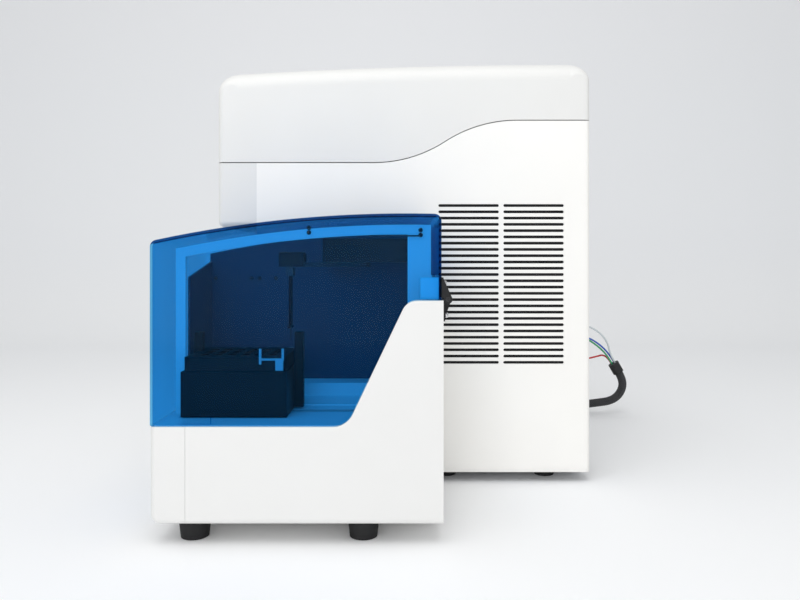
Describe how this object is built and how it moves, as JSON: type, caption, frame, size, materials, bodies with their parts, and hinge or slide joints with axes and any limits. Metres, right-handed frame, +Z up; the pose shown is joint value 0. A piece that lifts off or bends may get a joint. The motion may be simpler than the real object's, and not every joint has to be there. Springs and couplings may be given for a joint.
{
  "type": "flow cytometer",
  "caption": "Bench-top flow cytometer with a hinged lid, side vents and an automatic tube sampler under a clear blue cover, with a sliding rack and a swinging probe.",
  "frame": {"origin": "on the bench surface, under the middle of the instrument's box without its rear umbilical", "axes": "+X towards the sampler's side, +Y to the rear, +Z up"},
  "size_m": [1.034, 0.8259, 0.6655],
  "materials": {
    "lid_white": "fine matt texture",
    "panel_white": "powder coat, satin",
    "panel_grey": "powder coat, satin",
    "shell_white": "fine matt texture",
    "deck_white": "smooth satin",
    "zinc_steel": "zinc-plated sheet",
    "black_rubber": "matt",
    "filter_black": "open foam",
    "fitting_plastic": "satin",
    "black_plastic": "fine texture",
    "chrome_wire": "bright plated",
    "button_grey": "gloss",
    "bench_aluminium": "milled",
    "anodised_black": "black anodised",
    "steel_block": "ground",
    "clear_glass": "polished",
    "pump_plastic": "satin",
    "steel_rod": "ground",
    "board_green": "solder mask",
    "hinge_black": "black coat, satin",
    "clear_blue": "clear blue acrylic, polished",
    "block_cyan": "moulded, satin",
    "back_dark": "black coat, matt",
    "rack_black": "fine texture",
    "clip_grey": "satin",
    "drive_black": "satin",
    "arm_light": "satin",
    "wash_plastic": "satin",
    "tube_blue": "smooth tubing",
    "tube_green": "smooth tubing",
    "tube_red": "smooth tubing",
    "tube_clear": "smooth tubing",
    "sleeve_black": "braided sleeve"
  },
  "bodies": {
    "chassis": {"base_tray": "zinc_steel", "bench_mounts": "black_rubber", "bulkhead_fittings": "fitting_plastic", "carrier_rail": "bench_aluminium", "chamber_wall": "back_dark", "control_board": "board_green", "deck_plate": "deck_white", "detector_block": "anodised_black", "fan_frame": "black_plastic", "fan_guard": "chrome_wire", "fixed_hinge_leaves": "hinge_black", "flow_cell": "clear_glass", "flow_cell_block": "steel_block", "fluid_pumps": "pump_plastic", "front_fascia": "lid_white", "hinge_pins": "steel_rod", "inner_frame": "zinc_steel", "laser_modules": "anodised_black", "light_detectors": "anodised_black", "lower_front_panel": "panel_white", "mains_inlet": "black_plastic", "optical_bench": "bench_aluminium", "optics_mounts": "anodised_black", "power_supply": "zinc_steel", "probe_drive": "drive_black", "rear_panel": "panel_grey", "rubber_feet": "black_rubber", "sampler_floor": "zinc_steel", "sampler_front_panel": "shell_white", "sampler_shell": "shell_white", "side_panel_left": "panel_white", "side_panel_right": "panel_white", "syringe_pump": "pump_plastic", "tube_blue": "tube_blue", "tube_clear": "tube_clear", "tube_green": "tube_green", "tube_red": "tube_red", "umbilical_coil": "sleeve_black", "umbilical_collar": "black_rubber", "umbilical_connector": "black_plastic", "umbilical_sleeve": "sleeve_black", "vent_filter": "filter_black", "wash_station": "wash_plastic", "window_frame": "deck_white"},
    "lid": {"lid": "lid_white", "lid_hinge_leaves": "hinge_black"},
    "cover": {"sampler_cover": "clear_blue", "hinge_blocks": "block_cyan", "cover_hinge_leaves": "hinge_black"},
    "carrier": {"rack_carrier": "black_plastic", "tube_rack": "rack_black", "rack_clip": "clip_grey"},
    "screw": {"carrier_screw": "steel_rod"},
    "arm": {"probe_arm": "arm_light", "probe_head": "drive_black"},
    "probe": {"sample_probe": "steel_rod"},
    "plunger": {"syringe_plunger": "steel_rod"},
    "fan": {"fan_rotor": "black_plastic"},
    "rocker": {"power_rocker": "black_plastic"},
    "button": {"power_button": "button_grey"}
  },
  "joints": [
    {"name": "lid_hinge", "type": "hinge", "parent": "chassis", "child": "lid", "pos_m": [-0.126, 0.30175, 0.57075], "axis": [-1, 0, 0], "range_deg": [0, 60]},
    {"name": "cover_hinge", "type": "hinge", "parent": "chassis", "child": "cover", "pos_m": [0.261, 0.05425, 0.2995], "axis": [-1, 0, 0], "range_deg": [0, 80]},
    {"name": "carrier_slide", "type": "slide", "parent": "chassis", "child": "carrier", "axis": [0, 1, 0], "range_m": [0, 0.1774]},
    {"name": "screw_turn", "type": "hinge", "parent": "chassis", "child": "screw", "pos_m": [0.31, -0.15, 0.1157], "axis": [0, 1, 0], "range_deg": [0, 3200]},
    {"name": "arm_swing", "type": "hinge", "parent": "chassis", "child": "arm", "pos_m": [0.222, -0.07175, 0.342], "axis": [0, 0, 1], "range_deg": [0, 81.5]},
    {"name": "probe_lift", "type": "slide", "parent": "arm", "child": "probe", "axis": [0, 0, -1], "range_m": [0, 0.07]},
    {"name": "plunger_slide", "type": "slide", "parent": "chassis", "child": "plunger", "axis": [0, 0, -1], "range_m": [0, 0.03]},
    {"name": "fan_spin", "type": "hinge", "parent": "chassis", "child": "fan", "pos_m": [-0.016, 0.275, 0.33], "axis": [0, 1, 0], "continuous": true},
    {"name": "rocker_tilt", "type": "hinge", "parent": "chassis", "child": "rocker", "pos_m": [0.074, 0.29625, 0.071], "axis": [-1, 0, 0], "range_deg": [0, 16]},
    {"name": "button_press", "type": "slide", "parent": "chassis", "child": "button", "axis": [0, 1, 0], "range_m": [0, 0.002], "stiffness_N_per_m": 400}
  ],
  "couplings": [
    {"joint": "screw_turn", "follows": "carrier_slide", "rad_per_m": 314.16}
  ]
}
